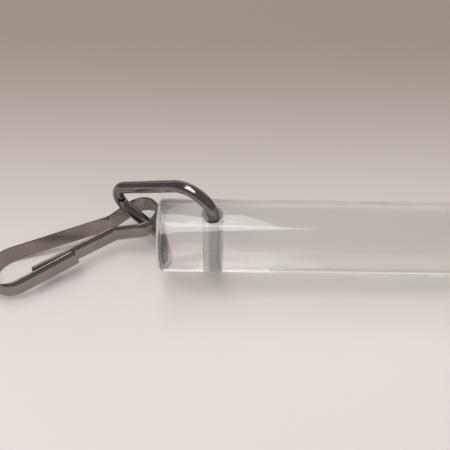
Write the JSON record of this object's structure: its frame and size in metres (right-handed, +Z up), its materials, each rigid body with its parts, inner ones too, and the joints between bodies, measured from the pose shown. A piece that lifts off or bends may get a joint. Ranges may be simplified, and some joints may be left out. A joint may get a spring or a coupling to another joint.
{
  "type": "curtain wand",
  "caption": "Clear round draw rod for curtains or blinds, with a wire ring through a cross hole at its end and a bent-strip snap clip on the ring to hang it by.",
  "frame": {"origin": "centre of the clip's hook, where the curtain carrier's eye hangs it", "axes": "+Z up with the wand lying on a level surface, +X along the rod to its far end; the rod falls 0.42 degrees to that end"},
  "size_m": [0.642, 0.0187, 0.0215],
  "materials": {
    "clear_acrylic": "polished, clear",
    "nickel_wire": "dark nickel plate, glossy",
    "nickel_strip": "dark nickel plate, glossy"
  },
  "bodies": {
    "rod": {"wand_rod": "clear_acrylic"},
    "ring": {"wire_ring": "nickel_wire"},
    "clip": {"snap_clip": "nickel_strip"}
  },
  "joints": [
    {"name": "ring_swing", "type": "hinge", "parent": "rod", "child": "ring", "pos_m": [0.03633, 0.00233, 0.00807], "axis": [0.0073, 0, 1], "range_deg": [-105, 135]},
    {"name": "clip_swing", "type": "hinge", "parent": "ring", "child": "clip", "pos_m": [0.02244, 0.00949, 0.0039], "axis": [0.7665, -0.3975, -0.5045], "range_deg": [-75, 90]}
  ]
}
